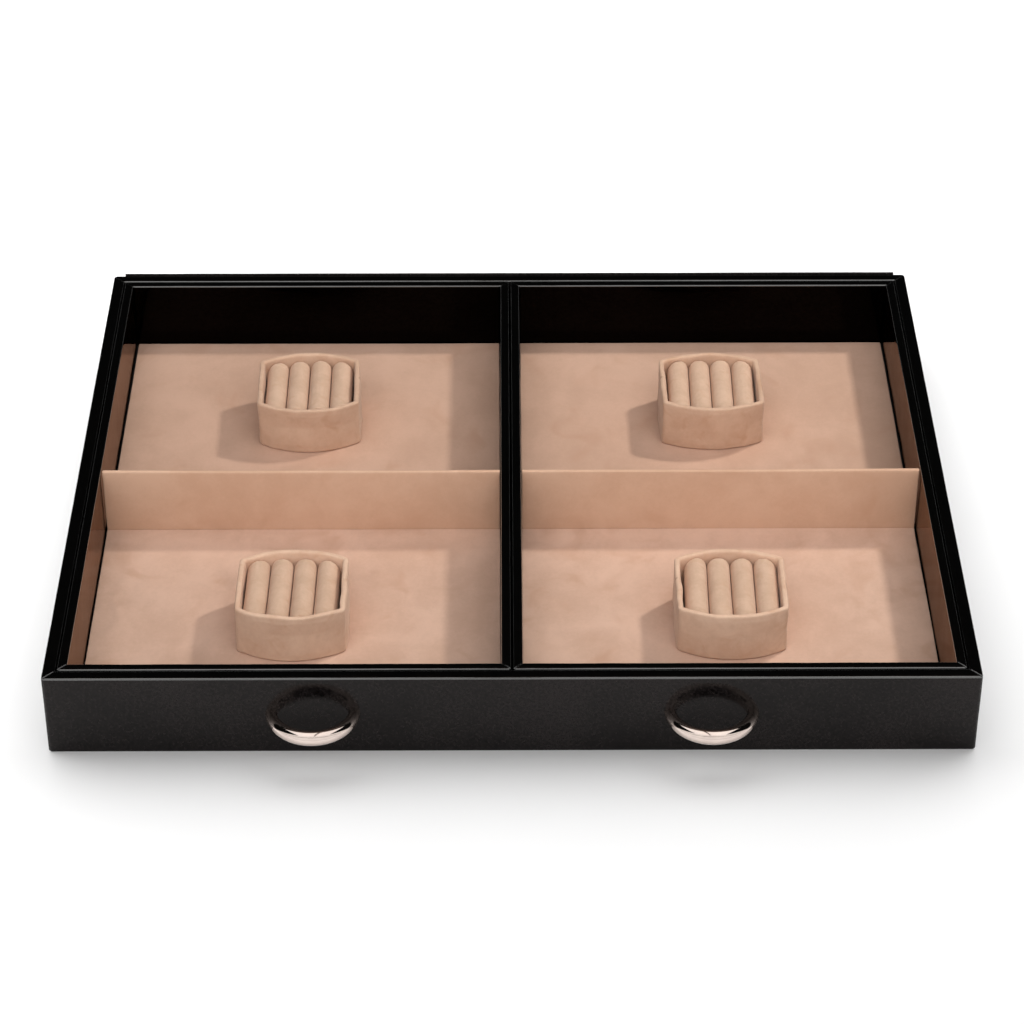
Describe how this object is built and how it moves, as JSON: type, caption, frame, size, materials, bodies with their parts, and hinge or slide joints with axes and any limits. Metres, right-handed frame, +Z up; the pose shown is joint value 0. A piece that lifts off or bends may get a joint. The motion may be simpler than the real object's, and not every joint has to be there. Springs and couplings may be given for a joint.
{
  "type": "jewellery drawer",
  "caption": "Shallow black leather drawer with metal bow handles, lift-out trays, dividers and padded suede cufflink holders.",
  "frame": {"origin": "middle of the drawer's underside, on the surface it rests on", "axes": "+X to the right seen from the handles, +Y from the front to the back, +Z up"},
  "size_m": [0.36, 0.3081, 0.0373],
  "materials": {
    "black_leather": "smooth fine-grained black leather, semi-gloss",
    "board": "plain fibreboard",
    "felt": "thin black felt",
    "bottom_cloth": "black leatherette sheet",
    "suede_insert": "beige suede cloth over card, brushed nap",
    "suede_holder": "beige suede cloth over a padded strip",
    "suede_rolls": "beige suede cloth over foam",
    "card": "greyboard",
    "nickel": "polished nickel plate",
    "screw_steel": "zinc-plated steel"
  },
  "bodies": {
    "drawer": {"back_board": "board", "back_facing": "black_leather", "back_leather": "black_leather", "base_board": "board", "bottom_cover": "bottom_cloth", "floor_felt": "felt", "front_board": "board", "front_leather": "black_leather", "handle_screws": "screw_steel", "left_board": "board", "left_handle": "nickel", "left_leather": "black_leather", "right_board": "board", "right_handle": "nickel", "right_leather": "black_leather"},
    "left_tray": {"left_tray_back_board": "board", "left_tray_back_leather": "black_leather", "left_tray_base": "board", "left_tray_front_board": "board", "left_tray_front_leather": "black_leather", "left_tray_left_board": "board", "left_tray_left_leather": "black_leather", "left_tray_right_board": "board", "left_tray_right_leather": "black_leather"},
    "right_tray": {"right_tray_back_board": "board", "right_tray_back_leather": "black_leather", "right_tray_base": "board", "right_tray_front_board": "board", "right_tray_front_leather": "black_leather", "right_tray_left_board": "board", "right_tray_left_leather": "black_leather", "right_tray_right_board": "board", "right_tray_right_leather": "black_leather"},
    "left_insert": {"left_back_card": "suede_insert", "left_back_holder_card": "card", "left_back_holder_frame": "suede_holder", "left_back_holder_rolls": "suede_rolls", "left_divider": "suede_insert", "left_front_card": "suede_insert", "left_front_holder_card": "card", "left_front_holder_frame": "suede_holder", "left_front_holder_rolls": "suede_rolls"},
    "right_insert": {"right_back_card": "suede_insert", "right_back_holder_card": "card", "right_back_holder_frame": "suede_holder", "right_back_holder_rolls": "suede_rolls", "right_divider": "suede_insert", "right_front_card": "suede_insert", "right_front_holder_card": "card", "right_front_holder_frame": "suede_holder", "right_front_holder_rolls": "suede_rolls"}
  },
  "joints": [
    {"name": "left_tray_lift", "type": "slide", "parent": "drawer", "child": "left_tray", "axis": [0, 0, 1], "range_m": [0, 0.05]},
    {"name": "right_tray_lift", "type": "slide", "parent": "drawer", "child": "right_tray", "axis": [0, 0, 1], "range_m": [0, 0.05]},
    {"name": "left_insert_lift", "type": "slide", "parent": "left_tray", "child": "left_insert", "axis": [0, 0, 1], "range_m": [0, 0.045]},
    {"name": "right_insert_lift", "type": "slide", "parent": "right_tray", "child": "right_insert", "axis": [0, 0, 1], "range_m": [0, 0.045]}
  ]
}
